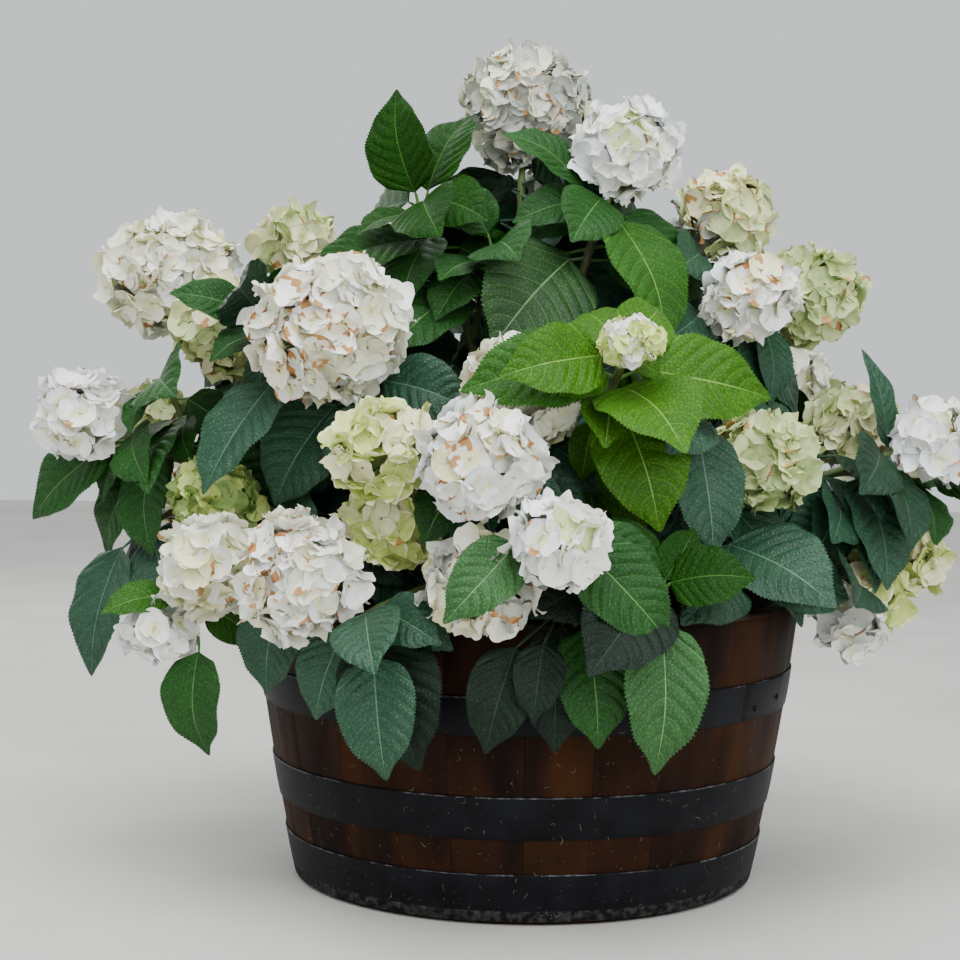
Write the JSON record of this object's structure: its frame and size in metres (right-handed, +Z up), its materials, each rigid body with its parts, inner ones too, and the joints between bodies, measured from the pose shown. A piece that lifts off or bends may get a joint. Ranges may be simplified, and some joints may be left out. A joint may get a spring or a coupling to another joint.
{
  "type": "hydrangea shrub in a half-barrel planter",
  "caption": "Bushy hydrangea with round white flower heads and large toothed leaves, growing in an oak half-barrel tub with iron hoops.",
  "frame": {"origin": "centre of the tub's round foot, on the surface that the tub stands on", "axes": "+Z up along the tub's axis; -Y is the front seen in the picture, +X its right side"},
  "size_m": [1.1377, 0.9175, 0.9526],
  "materials": {
    "foliage": "satin leaf, dark blue-green with brighter young leaves",
    "petals": "matt petal, white to cream and lime green, browned in places",
    "bark": "matt, thin grey-brown bark, green near the tips",
    "oak": "dark stained oak, worn and slightly glossy",
    "iron": "black painted hoop iron, worn at the edges",
    "compost": "damp crumbly potting compost"
  },
  "bodies": {
    "root": {"cane_back": "bark", "cane_back_left": "bark", "cane_back_right": "bark", "cane_crown_top": "bark", "cane_far_left": "bark", "cane_far_right": "bark", "cane_left": "bark", "cane_right": "bark", "cane_top_left": "bark", "cane_top_right": "bark", "cane_upper_left": "bark", "cane_upper_right": "bark", "foliage_back": "foliage", "foliage_back_left": "foliage", "foliage_back_right": "foliage", "foliage_centre": "foliage", "foliage_centre_left": "foliage", "foliage_centre_right": "foliage", "foliage_crown_top": "foliage", "foliage_far_left": "foliage", "foliage_far_right": "foliage", "foliage_front_left_low": "foliage", "foliage_front_low": "foliage", "foliage_left": "foliage", "foliage_lower_left": "foliage", "foliage_right": "foliage", "foliage_top_left": "foliage", "foliage_top_right": "foliage", "foliage_upper_left": "foliage", "foliage_upper_right": "foliage", "hoop_bottom": "iron", "hoop_middle": "iron", "hoop_top": "iron", "root_stool": "bark", "soil": "compost", "stave_01": "oak", "stave_02": "oak", "stave_03": "oak", "stave_04": "oak", "stave_05": "oak", "stave_06": "oak", "stave_07": "oak", "stave_08": "oak", "stave_09": "oak", "stave_10": "oak", "stave_11": "oak", "stave_12": "oak", "stave_13": "oak", "stave_14": "oak", "stave_15": "oak", "stave_16": "oak", "stave_17": "oak", "stave_18": "oak", "stave_19": "oak", "stave_20": "oak", "stave_21": "oak", "stave_22": "oak", "stave_23": "oak", "stave_24": "oak", "tub_bottom": "oak"}
  },
  "joints": []
}
